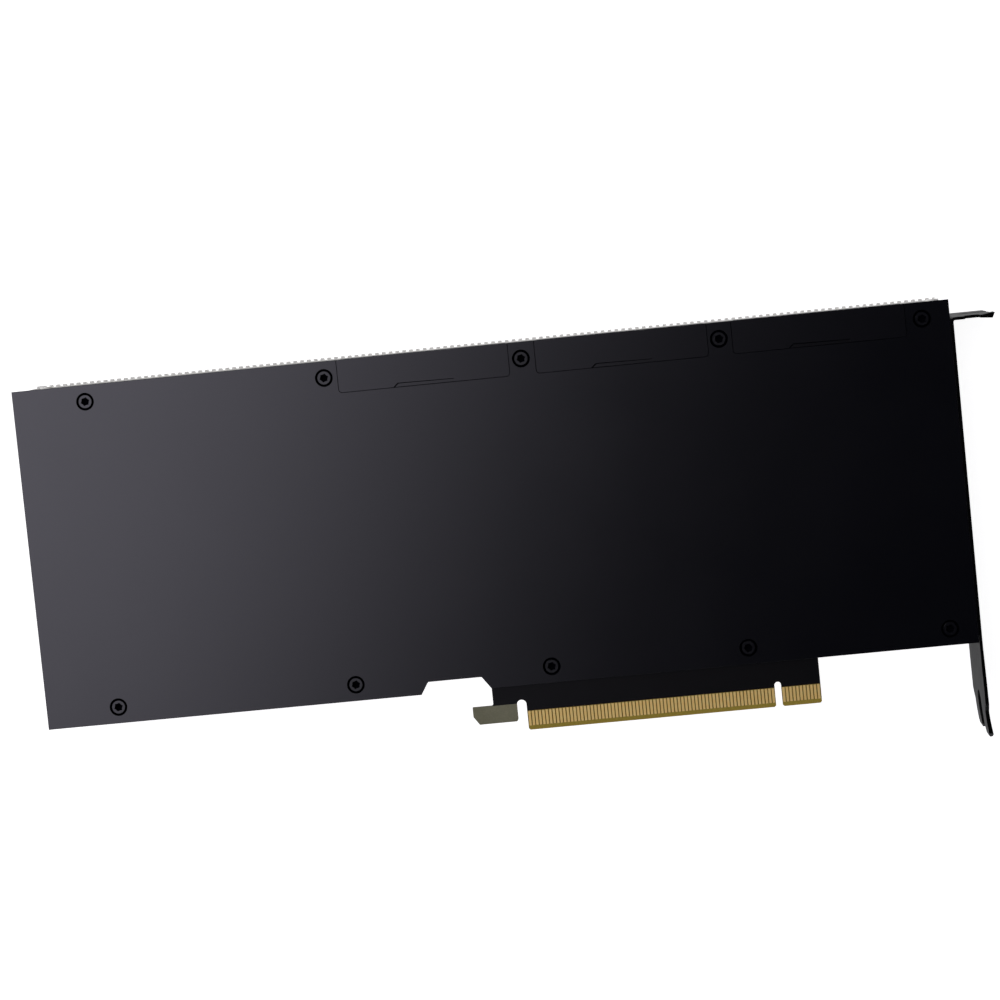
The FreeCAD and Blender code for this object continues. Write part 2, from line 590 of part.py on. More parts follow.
# ------------------------------------------------------- base frame of the cooler
b = new_body("base_frame")
pad(b, "XY", D("sole_top"), D("frame_top"), [
    ("poly", [(-193.0, 15.4), (52.8, 15.4), (52.8, 109.4), (-193.0, 109.4),
              (-193.0, 103.0), (-186.5, 103.0), (-186.5, 81.0), (-193.0, 81.0)])])
pad(b, "XY", D("frame_top"), D("rail_top"), [rect(-120, 22.6, -114, 99.4), rect(-8, 22.6, -2, 99.4)])
pad(b, "XY", D("frame_top"), D("board_low"), [("circ", x, y, D("frame_boss_rad")) for x, y in SCREWS])
# step round the cover's latch relief, and the window for the vapour chamber
pocket(b, "XY", D("sole_top"), D("frame_top"), [rect(-106.2, 15.2, -78.3, 18.65)])
pocket(b, "XY", D("sole_top"), D("frame_top"), [rect(px - 40.5, py - 41.3, px + 40.5, py + 41.0)])
# threaded holes for the plate screws
pocket(b, "XY", D("frame_top") + 0.2, D("board_low"), [("circ", x, y, D("shank_rad")) for x, y in SCREWS])

b = new_body("vapor_chamber")
pad(b, "XY", D("sole_top"), D("chamber_top"), [rect(px - 40, py - 40.8, px + 40, py + 40.5)])
dress(b, "Fillet", 3.0, lambda e: abs(e.Vertexes[0].Point.z - e.Vertexes[1].Point.z) > 1.0)
pad(b, "XY", D("chamber_top"), D("pedestal_top"), [rect(px - 25, py - 25, px + 25, py + 25)])
pad(b, "XY", D("chamber_top"), D("board_low"), [("circ", x, y, 2.4) for x, y in post])
pocket(b, "XY", D("chamber_top") + 0.2, D("board_low"), [("circ", x, y, 1.0) for x, y in post])

# ------------------------------------------------------------------ fin stack
b = new_body("fin_stack")
pad(b, "XY", D("fin_root"), D("sole_top"), [rect(D("fin_left"), 18.8, D("fin_right"), 108.6)])
one = pad(b, "XY", D("fin_low"), D("fin_root"),
          [rect(D("fin_left"), D("fin_first") - D("fin_thick") * 0.5,
                D("fin_right"), D("fin_first") + D("fin_thick") * 0.5)])
row_of(b, one, "Y", D("fin_pitch"), D("fin_count"))

# ---------------------------------------------------------------- power socket
b = new_body("power_socket")
s0, s1 = D("sock_mid") - D("sock_half"), D("sock_mid") + D("sock_half")
pad(b, "YZ", D("sock_mouth"), D("sock_back"), [rect(s0, D("sock_low"), s1, D("sock_low") + 9.6)])
# latch ledge on the far side, and the board pegs
pad(b, "YZ", D("sock_mouth") + 1.2, D("sock_mouth") + 3.4,
    [rect(D("sock_mid") - 2.6, D("sock_low") - 1.5, D("sock_mid") + 2.6, D("sock_low"))])
pad(b, "XY", D("sock_low") + 9.6, D("board_low"),
    [("circ", -200.5, s0 + 2.4, 1.3), ("circ", -200.5, s1 - 2.4, 1.3)])
zr = [D("sock_low") + 2.7, D("sock_low") + 6.9]
pocket(b, "YZ", D("sock_mouth"), D("sock_back") - 1.6,
       [rect(y - 1.75, z - 1.75, y + 1.75, z + 1.75) for y in pin_y for z in zr])
pocket(b, "YZ", D("sock_back") - 1.6, D("sock_back"),
       [rect(y - 0.55, z - 0.55, y + 0.55, z + 0.55) for y in pin_y for z in zr])

b = new_body("power_pins")
for z, x in ((zr[0], pin_x[1]), (zr[1], pin_x[0])):
    pad(b, "YZ", D("sock_mouth") + 2.2, x + 0.55,
        [rect(y - 0.55, z - 0.55, y + 0.55, z + 0.55) for y in pin_y])
    pad(b, "XY", z + 0.5, board_top + 0.55,
        [rect(x - 0.55, y - 0.55, x + 0.55, y + 0.55) for y in pin_y])

# ------------------------------------------------------------------ end frames
b = new_body("rear_frame")
pad(b, "YZ", D("rear_end"), D("rear_inner"), [rect(D("ring_bot"), D("ring_low"), D("ring_top"), D("ring_high"))])
pocket(b, "YZ", D("rear_end"), D("rear_inner"),
       [rect(20.3, 4.5, 81.4, 31.0), rect(83.6, 4.5, 104.4, 21.5)])
# seat of the power socket, open towards the board
pocket(b, "YZ", D("rear_end"), D("rear_inner"),
       [rect(s0 - 0.2, D("sock_low") - 1.7, s1 + 0.2, D("ring_high") + 0.2)])
# threaded holes for a rear support
pocket(b, "YZ", D("rear_end"), D("rear_end") + 8.0,
       [("circ", y, z, 1.25) for y in (17.7, 107.1) for z in (8.0, 28.0)])
# threaded holes for the cover's side screws
pocket(b, "XZ", D("ring_bot"), D("ring_bot") + 4.0, [("circ", -203.4, 18.0, 0.9)])
pocket(b, "XZ", D("ring_top") - 4.0, D("ring_top"), [("circ", -203.4, 18.0, 0.9)])

b = new_body("exhaust_frame")
pad(b, "YZ", D("exh_inner"), D("brk_in"), [rect(D("ring_bot"), D("ring_low"), D("ring_top") - 0.2, D("ring_high"))])
pocket(b, "YZ", D("exh_inner"), D("brk_in"), [rect(26.0, 5.2, 96.0, 28.5)])
BRK = [(y, z) for y in (20.5, 101.0) for z in (8.0, 26.0)]
pocket(b, "YZ", D("exh_inner") + 0.6, D("brk_in"), [("circ", y, z, D("shank_rad")) for y, z in BRK])
pocket(b, "XZ", D("ring_bot"), D("ring_bot") + 3.5, [("circ", 54.9, 18.0, 0.9)])
pocket(b, "XZ", D("ring_top") - 3.7, D("ring_top") - 0.2, [("circ", 54.9, 18.0, 0.9)])

# ---------------------------------------------------------------- slot bracket
b = new_body("slot_bracket")
xi, xo = val["brk_in"], val["brk_out"]
t = xo - xi
ri, ro = val["bend_in"], val["bend_in"] + t
yu = val["tab_under"]
xe = val["tab_end"]


def on_arc(cx, cy, r, deg):
    a = math.radians(deg)
    return (cx + r * math.cos(a), cy + r * math.sin(a))


# bent sheet, seen along its edges: tab, bend, face, and the tongues that lean out
cx, cy = xo + ri, yu - ri
out_pts = [(xo, 12.4), (xo + 0.20, 1.6), (xo + 0.27, -4.6), (xo + 0.44, -7.5), (xo + 0.62, -9.8),
           (xo + 0.90, -12.1), (xo + 1.16, -13.9)]
in_pts = [(xi + 0.86, -14.50), (xi + 0.66, -13.2), (xi + 0.45, -11.2), (xi + 0.27, -9.0), (xi + 0.12, -5.6),
          (xi + 0.05, 1.6), (xi, 12.4)]
run = []
run.append(("L", (xe, yu), (cx, yu)))
run.append(("A", (cx, yu), on_arc(cx, cy, ri, 135), (xo, cy)))
prev = (xo, cy)
for p in out_pts:
    run.append(("L", prev, p))
    prev = p
tip_mid = ((out_pts[-1][0] + in_pts[0][0]) / 2 + 0.20, (out_pts[-1][1] + in_pts[0][1]) / 2 - 0.33)
run.append(("A", prev, tip_mid, in_pts[0]))
prev = in_pts[0]
for p in in_pts[1:]:
    run.append(("L", prev, p))
    prev = p
run.append(("L", prev, (xi, cy)))
run.append(("A", (xi, cy), on_arc(cx, cy, ro, 135), (cx, yu + t)))
run.append(("L", (cx, yu + t), (xe, yu + t)))
run.append(("L", (xe, yu + t), (xe, yu)))
pad(b, "XY", D("brk_low"), D("brk_high"), [("mixed", run)])
# two tongues: shoulders slope off both edges, and a gap with round corners parts them
zh, zl = D("brk_high"), D("brk_low")
near = zh - 4.115
pocket(b, "YZ", D("brk_in") - 1.0, D("brk_out") + 3.0, [
    ("poly", [(-4.6, zh + 0.5), (-4.6, zh), (-7.2, near), (-13.6, near), (-16.0, near - 2.2), (-16.0, zh + 0.5)]),
    ("poly", [(-4.6, zl - 0.5), (-16.0, zl - 0.5), (-16.0, zl + 6.3), (-13.6, zl + 4.115), (-7.2, zl + 4.115), (-4.6, zl)]),
    ("poly", [(-16.0, near - 7.99), (-13.6, near - 10.19), (-5.6, near - 10.19), (-4.0, near - 11.1), (-3.1, near - 12.7),
              (-2.9, near - 14.2), (-2.9, near - 16.3), (-3.1, near - 17.8), (-4.0, near - 19.4),
              (-5.6, near - 20.32), (-13.6, near - 20.32), (-16.0, near - 22.52)])])
# screw notches of the tab: one open to the near side, one open to the outer end
notch_x = val["finger_in"] - 2.2
zc = val["brk_high"] - 2.9
pocket(b, "XZ", D("tab_under") - 0.5, D("tab_under") + 1.4, [
    ("poly", [(D("finger_in") - 4.4, D("brk_high") + 1.0), (D("finger_in") - 4.4, D("brk_high") - 4.5),
              (D("finger_in") - 3.8, D("brk_high") - 5.1), (D("finger_in") - 0.6, D("brk_high") - 5.1),
              (D("finger_in"), D("brk_high") - 4.5), (D("finger_in"), D("brk_high") + 1.0)])])
z2 = zc - 20.32
run = [("L", (xe + 1, z2 - 2.2), (notch_x, z2 - 2.2)),
       ("A", (notch_x, z2 - 2.2), (notch_x - 2.2, z2), (notch_x, z2 + 2.2)),
       ("L", (notch_x, z2 + 2.2), (xe + 1, z2 + 2.2)),
       ("L", (xe + 1, z2 + 2.2), (xe + 1, z2 - 2.2))]
pocket(b, "XZ", D("tab_under") - 0.5, D("tab_under") + 1.4, [("mixed", run)])
# the outer finger of the near notch thickens towards its slanted end
root = D("brk_high") - 5.3
pocket(b, "XY", root, D("brk_high") + 0.5, [rect(D("tab_end") - 0.9, D("tab_under") - 0.5, D("tab_end") + 0.5, D("tab_under") + 1.4)])
pad(b, "XY", root - 0.4, D("brk_high"), [
    ("poly", [(D("finger_in"), D("tab_under")), (D("tab_end") - 0.7, D("tab_under") - D("finger_drop")),
              (D("tab_end"), D("tab_under") + 0.75 + D("finger_rise")),
              (D("tab_end") - 0.15, D("tab_under") + 0.86 + D("finger_rise")),
              (D("finger_in") + 0.6, D("tab_under") + 0.86), (D("finger_in"), D("tab_under") + 0.86)])])
# air vents
vents = []
for k in range(11):
    y = 31.0 + 6.0 * k
    vents.append(("slot", y, 8.4, y, 14.0, 1.7))
    vents.append(("slot", y, 19.2, y, 24.8, 1.7))
pocket(b, "YZ", D("brk_in") - 0.2, D("brk_out") + 0.2, vents)
# countersunk holes for its screws
pocket(b, "YZ", D("brk_in") - 0.2, D("brk_out") + 0.2, [("circ", y, z, 1.42) for y, z in BRK])
dress(b, "Chamfer", 0.82, lambda e: e.Curve.TypeId == "Part::GeomCircle" and abs(e.Curve.Radius - 1.42) < 1e-3
      and abs(e.Vertexes[0].Point.x - xo) < 1e-4)

b = new_body("bracket_screws")
pad(b, "YZ", D("brk_in") + 0.04, D("brk_out"), [("circ", y, z, 2.2) for y, z in BRK])
dress(b, "Chamfer", 0.8, lambda e: e.Curve.TypeId == "Part::GeomCircle" and abs(e.Vertexes[0].Point.x - xi - 0.04) < 1e-4)
pad(b, "YZ", D("exh_inner") + 0.8, D("brk_in") + 0.04, [("circ", y, z, D("shank_rad")) for y, z in BRK])
pocket(b, "YZ", D("brk_out") - 0.6, D("brk_out"),
       [("poly", [(y + 0.9 * math.cos(math.radians(60 * k)), z + 0.9 * math.sin(math.radians(60 * k)))
                  for k in range(6)]) for y, z in BRK])

# ---------------------------------------------------------------------- cover
b = new_body("shroud")
c0, c1, y0, y1 = D("cvr_left"), D("cvr_right"), D("cvr_bot"), D("cvr_top")
wall_hi = D("film_low") - 0.1
pad(b, "YZ", c0, c1, [rect(y0, 0, y1, wall_hi)])
dress(b, "Fillet", D("cvr_round"), lambda e: abs(e.Vertexes[0].Point.z) < 1e-6 and abs(e.Vertexes[1].Point.z) < 1e-6
      and abs(e.Vertexes[0].Point.x - e.Vertexes[1].Point.x) > 100)
pocket(b, "YZ", c0 - 0.1, c1 + 0.1, [rect(y0 + D("cvr_wall"), D("cvr_face"), y1 - D("cvr_wall"), wall_hi + 0.1)])
# the lower wall stops under the board
pocket(b, "XZ", y0 - 0.1, y0 + D("cvr_wall") + 0.05,
       [rect(c0 - 0.5, D("board_low") - 0.2, c1 + 0.5, wall_hi + 0.5)])
# and steps inwards over a ledge to clear the slot's latch
ra, rb = D("relief_a") - 2.9, D("relief_d") + 1.5
wt = D("cvr_wall")
pocket(b, "XZ", y0 - 0.1, y0 + wt + 0.05, [rect(ra, D("ledge_top"), rb, D("board_low"))])
pad(b, "XY", D("ledge_top") - wt, D("board_low") - 0.2,
    [("poly", [(ra - wt, y0 + wt - 0.1), (ra, y0 + wt - 0.1), (ra, D("relief_top") + 0.1),
               (rb, D("relief_top") + 0.1), (rb, y0 + wt - 0.1), (rb + wt, y0 + wt - 0.1),
               (rb + wt, D("relief_top") + 0.1 + wt), (ra - wt, D("relief_top") + 0.1 + wt)])])
pad(b, "XY", D("ledge_top") - wt, D("ledge_top"), [rect(ra, y0 + wt - 0.1, rb, D("relief_top") + 0.1)])
# the upper wall opens at each bridge connector
pocket(b, "XZ", y1 - D("cvr_wall") - 0.05, y1 + 0.1,
       [rect(w - D("win_half") + 0.6, D("board_low") - 2.7, w + D("win_half") - 0.6, wall_hi + 0.5) for w in WINS])
# side screws, countersunk
SIDE = [-203.4, 54.9]
pocket(b, "XZ", y0 - 0.1, y0 + D("cvr_wall") + 0.05, [("circ", x, 18.0, 1.0) for x in SIDE])
pocket(b, "XZ", y1 - D("cvr_wall") - 0.05, y1 + 0.1, [("circ", x, 18.0, 1.0) for x in SIDE])
pocket(b, "XZ", y0 - 0.1, y0 + 0.7, [("circ", x, 18.0, 1.9) for x in SIDE])
pocket(b, "XZ", y1 - 0.7, y1 + 0.1, [("circ", x, 18.0, 1.9) for x in SIDE])
# above the ribs' ends the upper wall is set back
pocket(b, "XZ", D("cvr_top") - D("rib_deep"), D("cvr_top") + 0.2, [rect(c0 - 0.5, D("rib_end"), c1 + 0.5, wall_hi + 0.5)])
# ribs: one groove across the face and round its upper edge, repeated along the cover
g = val["rib_deep"]
rr = val["cvr_round"] - g
ya, yb = val["cvr_bot"] + 2.4, val["cvr_top"]
groove = [("L", (ya, -0.6), (ya, g)),
          ("L", (ya, g), (yb - g - rr, g)),
          ("A", (yb - g - rr, g), (yb - g - rr + rr * math.sin(math.pi / 4), g + rr - rr * math.cos(math.pi / 4)), (yb - g, g + rr)),
          ("L", (yb - g, g + rr), (yb - g, val["rib_end"] + 0.4)),
          ("L", (yb - g, val["rib_end"] + 0.4), (yb + 0.6, val["rib_end"] + 0.4)),
          ("L", (yb + 0.6, val["rib_end"] + 0.4), (yb + 0.6, -0.6)),
          ("L", (yb + 0.6, -0.6), (ya, -0.6))]
x_first = D("cvr_left") + 2.74
cut = pocket(b, "YZ", x_first, x_first + D("rib_gap"), [("mixed", groove)])
row_of(b, cut, "X", D("rib_pitch"), 130)

b = new_body("shroud_screws")
for lo, hi, a, c in ((y0, y0 + 0.65, y0 + 0.65, D("ring_bot") + 3.0),
                     (y1 - 0.65, y1, D("ring_top") - 3.2, y1 - 0.65)):
    pad(b, "XZ", lo, hi, [("circ", x, 18.0, 1.85) for x in SIDE])
    pad(b, "XZ", a, c, [("circ", x, 18.0, 0.9) for x in SIDE])
for lo, hi in ((y0, y0 + 0.4), (y1 - 0.4, y1)):
    pocket(b, "XZ", lo, hi, [("poly", [(x + 0.7 * math.cos(math.radians(60 * k)), 18.0 + 0.7 * math.sin(math.radians(60 * k)))
                                       for k in range(6)]) for x in SIDE])

# ------------------------------------------------------------ check and write
doc.recompute()
bad = []
for o in doc.Objects:
    if "Invalid" in o.State or "Error" in o.State:
        bad.append(o.Label + ": " + ", ".join(o.State))
for n in NODES:
    if n.Shape.isNull() or not n.Shape.isValid() or not n.Shape.Solids:
        bad.append(n.Label + ": shape is null or not valid")
if bad:
    raise RuntimeError("; ".join(bad))

os.makedirs("parts", exist_ok=True)
for n in NODES:
    n.Shape.exportStep(os.path.join("parts", n.Label + ".step"))
    bb = n.Shape.BoundBox
    print("%-24s solids %3d  volume %10.2f  x %8.2f %8.2f  y %8.2f %8.2f  z %6.2f %6.2f" % (
        n.Label, len(n.Shape.Solids), n.Shape.Volume, bb.XMin, bb.XMax, bb.YMin, bb.YMax, bb.ZMin, bb.ZMax))
print("sub-parts:", len(NODES))
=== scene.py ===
import math

import bpy
import bmesh
from mathutils import Matrix, Vector

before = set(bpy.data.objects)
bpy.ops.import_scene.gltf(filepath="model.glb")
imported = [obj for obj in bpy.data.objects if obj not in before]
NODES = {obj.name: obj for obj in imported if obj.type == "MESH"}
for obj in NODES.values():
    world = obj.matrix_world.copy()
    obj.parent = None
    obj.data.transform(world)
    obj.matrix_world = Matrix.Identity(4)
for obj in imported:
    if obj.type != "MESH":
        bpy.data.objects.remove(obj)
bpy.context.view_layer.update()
mm = 0.001
# card datum (key notch, contacts' lower edge, rib tops) in the part's frame
DX, DY = 0.06962, -0.0482825


def at(x, y, z):
    """A point given in millimetres from the card datum."""
    return Vector((x * mm + DX, y * mm + DY, z * mm))


# ------------------------------------------------------------------ camera
cam_data = bpy.data.cameras.new("camera")
cam = bpy.data.objects.new("camera", cam_data)
bpy.context.scene.collection.objects.link(cam)
cam_data.sensor_width = 36.0
cam_data.lens = 121.93
cam_data.clip_start, cam_data.clip_end = 0.01, 60.0
cam_data.shift_x, cam_data.shift_y = -0.0005, 0.0005
look = Vector((-0.05374628, -0.07337676, -0.995855)).normalized()
up = Vector((0.0963174, 0.9922653, -0.07831051))
right = look.cross(up).normalized()
up = right.cross(look).normalized()
rot = Matrix((right, up, -look)).transposed().to_4x4()
cam.matrix_world = Matrix.Translation((0.047969, 0.089304, 1.000039)) @ rot
bpy.context.scene.camera = cam


# ------------------------------------------------------------------ node helpers
class Mat:
    def __init__(self, name, base=(0.5, 0.5, 0.5), metallic=0.0, rough=0.5, spec=0.5, coat=0.0, coat_rough=0.2, ior=None):
        self.m = bpy.data.materials.new(name)
        self.m.use_nodes = True
        self.nt = self.m.node_tree
        self.nt.nodes.clear()
        self.out = self.n("ShaderNodeOutputMaterial")
        self.b = self.n("ShaderNodeBsdfPrincipled")
        self.nt.links.new(self.b.outputs["BSDF"], self.out.inputs["Surface"])
        self.b.inputs["Base Color"].default_value = (*base, 1.0)
        self.b.inputs["Metallic"].default_value = metallic
        self.b.inputs["Roughness"].default_value = rough
        self.b.inputs["Specular IOR Level"].default_value = spec
        self.b.inputs["Coat Weight"].default_value = coat
        self.b.inputs["Coat Roughness"].default_value = coat_rough
        if ior:
            self.b.inputs["IOR"].default_value = ior
        self.bump_out = None
        self._coord = None

    def n(self, kind, **props):
        node = self.nt.nodes.new(kind)
        for k, v in props.items():
            setattr(node, k, v)
        return node

    def put(self, socket, value):
        if isinstance(value, bpy.types.NodeSocket):
            self.nt.links.new(value, socket)
        elif value is not None:
            if hasattr(socket.default_value, "__len__") and not hasattr(value, "__len__"):
                value = [value] * len(socket.default_value)
            elif hasattr(socket.default_value, "__len__") and len(value) == 3 and len(socket.default_value) == 4:
                value = (*value, 1.0)
            socket.default_value = value

    def coord(self):
        if self._coord is None:
            self._coord = self.n("ShaderNodeTexCoord").outputs["Object"]
        return self._coord

    def stretched(self, x, y, z, rot=(0.0, 0.0, 0.0)):
        node = self.n("ShaderNodeMapping")
        self.put(node.inputs["Vector"], self.coord())
        node.inputs["Scale"].default_value = (x, y, z)
        node.inputs["Rotation"].default_value = rot
        return node.outputs[0]

    def axis(self, which):
        node = self.n("ShaderNodeSeparateXYZ")
        self.put(node.inputs[0], self.coord())
        return node.outputs["XYZ".index(which)]

    def noise(self, scale, detail=2.0, rough=0.5, vec=None, distortion=0.0):
        node = self.n("ShaderNodeTexNoise")
        self.put(node.inputs["Vector"], vec if vec is not None else self.coord())
        node.inputs["Scale"].default_value = scale
        node.inputs["Detail"].default_value = detail
        node.inputs["Roughness"].default_value = rough
        node.inputs["Distortion"].default_value = distortion
        return node.outputs["Fac"]

    def cells(self, scale, vec=None, feature="F1", out="Distance", randomness=1.0):
        node = self.n("ShaderNodeTexVoronoi", feature=feature)
        self.put(node.inputs["Vector"], vec if vec is not None else self.coord())
        node.inputs["Scale"].default_value = scale
        node.inputs["Randomness"].default_value = randomness
        return node.outputs[out]

    def ramp(self, fac, stops, interp="LINEAR"):
        node = self.n("ShaderNodeValToRGB")
        self.put(node.inputs["Fac"], fac)
        cr = node.color_ramp
        cr.interpolation = interp
        while len(cr.elements) > 1:
            cr.elements.remove(cr.elements[-1])
        first = True
        for pos, col in stops:
            if not hasattr(col, "__len__"):
                col = (col, col, col)
            e = cr.elements[0] if first else cr.elements.new(pos)
            e.position = pos
            e.color = (*col, 1.0)
            first = False
        return node.outputs["Color"]

    def maths(self, op, a, b=None, c=None, clamp=False):
        node = self.n("ShaderNodeMath", operation=op, use_clamp=clamp)
        self.put(node.inputs[0], a)
        if b is not None:
            self.put(node.inputs[1], b)
        if c is not None:
            self.put(node.inputs[2], c)
        return node.outputs[0]

    def remap(self, fac, lo, hi, to_lo, to_hi, smooth=False):
        node = self.n("ShaderNodeMapRange")
        if smooth:
            node.interpolation_type = "SMOOTHSTEP"
        self.put(node.inputs["Value"], fac)
        node.inputs["From Min"].default_value = lo
        node.inputs["From Max"].default_value = hi
        node.inputs["To Min"].default_value = to_lo
        node.inputs["To Max"].default_value = to_hi
        return node.outputs["Result"]

    def mix(self, fac, a, b, mode="MIX"):
        node = self.n("ShaderNodeMix", data_type="RGBA", blend_type=mode)
        self.put(node.inputs[0], fac)
        self.put(node.inputs[6], a)
        self.put(node.inputs[7], b)
        return node.outputs[2]

    def bump(self, height, distance, strength=1.0):
        node = self.n("ShaderNodeBump")
        node.inputs["Distance"].default_value = distance
        node.inputs["Strength"].default_value = strength
        self.put(node.inputs["Height"], height)
        if self.bump_out is not None:
            self.nt.links.new(self.bump_out, node.inputs["Normal"])
        self.bump_out = node.outputs["Normal"]
        self.nt.links.new(self.bump_out, self.b.inputs["Normal"])

    def base(self, value):
        self.put(self.b.inputs["Base Color"], value)

    def rough(self, value):
        self.put(self.b.inputs["Roughness"], value)

    def metal(self, value):
        self.put(self.b.inputs["Metallic"], value)


def use(mat, *nodes):
    for n in nodes:
        o = NODES[n]
        if not o.material_slots:
            o.data.materials.append(mat.m)
        for s in o.material_slots:
            s.material = mat.m


def grey(v, tint=(1.0, 1.0, 1.0)):
    return tuple(v * t for t in tint)


# ------------------------------------------------------------------ materials
TOP = 39.03 * mm          # outer face of the plate and of the bridge covers


def below(m, value, level, soft=0.00004):
    return m.remap(value, level - soft, level + soft, 1.0, 0.0, True)


def dull_with_painted_shade(m, mask, rough, spec=0.5):
    """Cut walls and the bottoms of holes: unpolished, and darkened as painted shade by dropping their specular level
    to near nothing, where the outer faces are satin.
    """
    m.rough(m.mix(mask, rough, (0.85, 0.85, 0.85)))
    m.put(m.b.inputs["Specular IOR Level"], m.remap(mask, 0.0, 1.0, spec, 0.04))


# back plate: black anodised sheet, satin, very fine blasted grain
plate = Mat("anodised_plate", rough=0.155, spec=0.5)
grain = plate.noise(5200, 3, 0.6)
cloud = plate.noise(38, 3, 0.5)
plate.base(plate.ramp(grain, [(0.3, (0.0008, 0.0011, 0.0026)), (0.7, (0.0012, 0.0015, 0.0036))]))
# painted shade: the plate's cut side walls and the walls and floors of its counterbores are rough with almost no
# specular, so they read dark
dull_with_painted_shade(plate, below(plate, plate.axis("Z"), TOP - 0.006 * mm, 0.000003),
          plate.maths("ADD", plate.remap(cloud, 0.3, 0.7, 0.150, 0.162), plate.remap(grain, 0.3, 0.7, -0.012, 0.012)))
plate.bump(grain, 0.0000025, 0.6)
use(plate, "back_plate")

# bridge covers: moulded caps in the plate's colour, a touch finer and more even
cap = Mat("moulded_cap", rough=0.16, spec=0.5)
g = cap.noise(4200, 2, 0.5)
cap.base(cap.ramp(g, [(0.3, (0.0009, 0.0011, 0.0026)), (0.7, (0.0013, 0.0015, 0.0036))]))
# painted shade: the caps' side walls, gap lines and sunken faces below the top face are rough with almost no
# specular, all but the floor of the pry recess
deep = below(cap, cap.axis("Z"), TOP - 0.10 * mm, 0.00001)
floor_of_recess = cap.maths("MULTIPLY", below(cap, cap.axis("Z"), TOP - 0.70 * mm, 0.00001),
                            cap.maths("SUBTRACT", 1.0, below(cap, cap.axis("Z"), TOP - 0.80 * mm, 0.00001)))
dull_with_painted_shade(cap, cap.maths("SUBTRACT", deep, floor_of_recess, clamp=True), cap.remap(g, 0.3, 0.7, 0.150, 0.172))
cap.bump(g, 0.000002, 0.5)
use(cap, "bridge_cover_rear", "bridge_cover_middle", "bridge_cover_front")

# insulating film
film = Mat("insulating_film", rough=0.28, spec=0.5)
g = film.noise(900, 2, 0.5)
film.base(film.ramp(g, [(0.3, grey(0.006)), (0.7, grey(0.010))]))
film.rough(film.remap(film.noise(120, 2), 0.3, 0.7, 0.24, 0.36))
film.bump(g, 0.000004, 0.4)
use(film, "insulating_film")

# board: black mask over copper and laminate, bare laminate on the hook, between the contacts and on the bevel
board = Mat("board_mask", rough=0.34, spec=0.5)
x, y, z = board.axis("X"), board.axis("Y"), board.axis("Z")
weave_v = board.stretched(1, 1, 1, (0, 0, 0))
weave = board.noise(2600, 2, 0.5, weave_v)
blotch = board.noise(160, 3, 0.55)
mask_col = board.ramp(blotch, [(0.3, grey(0.0012, (1.0, 1.05, 1.3))), (0.7, grey(0.0021, (1.0, 1.05, 1.3)))])
lam_col = board.ramp(board.mix(0.5, weave, blotch), [(0.35, (0.195, 0.190, 0.120)), (0.65, (0.250, 0.243, 0.162))])
bev_col = board.ramp(weave, [(0.3, (0.44, 0.320, 0.050)), (0.7, (0.54, 0.400, 0.074))])
gap_col = board.ramp(weave, [(0.3, (0.175, 0.112, 0.016)), (0.7, (0.235, 0.155, 0.026))])


on_hook = board.maths("MULTIPLY", below(board, y, 7.90 * mm + DY), below(board, x, -73.2 * mm + DX))
on_tongue = board.maths("MULTIPLY", below(board, y, 5.62 * mm + DY), board.maths("SUBTRACT", 1.0, below(board, x, -73.2 * mm + DX)))
on_bevel = board.maths("MULTIPLY", below(board, y, 1.28 * mm + DY), board.maths("SUBTRACT", 1.0, below(board, x, -73.2 * mm + DX)))
col = board.mix(on_hook, mask_col, lam_col)
col = board.mix(on_tongue, col, gap_col)
col = board.mix(on_bevel, col, bev_col)
board.base(col)
bare = board.maths("MAXIMUM", on_hook, on_tongue)
board.rough(board.remap(bare, 0.0, 1.0, 0.27, 0.62))
board.put(board.b.inputs["Specular IOR Level"], board.mix(on_tongue, board.remap(bare, 0.0, 1.0, 0.17, 0.42), (0.15, 0.15, 0.15)))
board.bump(weave, 0.000006, 0.35)
use(board, "circuit_board")

# contacts: hard gold with fine rubbed lines along the insertion direction
gold = Mat("hard_gold", metallic=1.0, rough=0.52)
lines = gold.noise(1.0, 2, 0.5, gold.stretched(9000, 700, 2000))
gold.base(gold.ramp(lines, [(0.3, (1.0, 0.66, 0.20)), (0.7, (1.0, 0.82, 0.37))]))
gold.rough(gold.remap(lines, 0.3, 0.7, 0.46, 0.58))
gold.bump(lines, 0.000004, 0.4)
use(gold, "edge_contacts_back", "edge_contacts_front", "bridge_contacts")

# plate screws: black oxide steel
screw = Mat("black_oxide_screw", metallic=0.0, rough=0.155, spec=0.5)
g = screw.noise(3800, 3, 0.6)
turn = screw.noise(1.0, 2, 0.5, screw.stretched(1500, 1500, 6000))
screw.base(screw.ramp(g, [(0.3, (0.0011, 0.0013, 0.0030)), (0.7, (0.0016, 0.0018, 0.0040))]))
# painted shade: the sockets below the heads' top are rough with almost no specular, so they read black
dull_with_painted_shade(screw, below(screw, screw.axis("Z"), 38.98 * mm - 0.24 * mm, 0.00001), screw.remap(turn, 0.3, 0.7, 0.15, 0.19))
screw.bump(g, 0.000002, 0.6)
use(screw, "plate_screws")

# dark screws of the bracket and spring
dark_screw = Mat("dark_steel_screw", metallic=1.0, rough=0.36)
g = dark_screw.noise(3000, 3, 0.6)
dark_screw.base(dark_screw.ramp(g, [(0.3, grey(0.10)), (0.7, grey(0.15))]))
dark_screw.rough(dark_screw.remap(g, 0.3, 0.7, 0.30, 0.44))
use(dark_screw, "retention_screws", "bracket_screws")

# screws of the ribbed cover: steel coated in the cover's own light tone
light_screw = Mat("light_coated_screw", metallic=0.0, rough=0.55, spec=0.5)
g = light_screw.noise(2600, 3, 0.6)
light_screw.base(light_screw.ramp(g, [(0.3, (0.84, 0.83, 0.81)), (0.7, (0.94, 0.93, 0.91))]))
light_screw.rough(light_screw.remap(g, 0.3, 0.7, 0.50, 0.62))
use(light_screw, "shroud_screws")

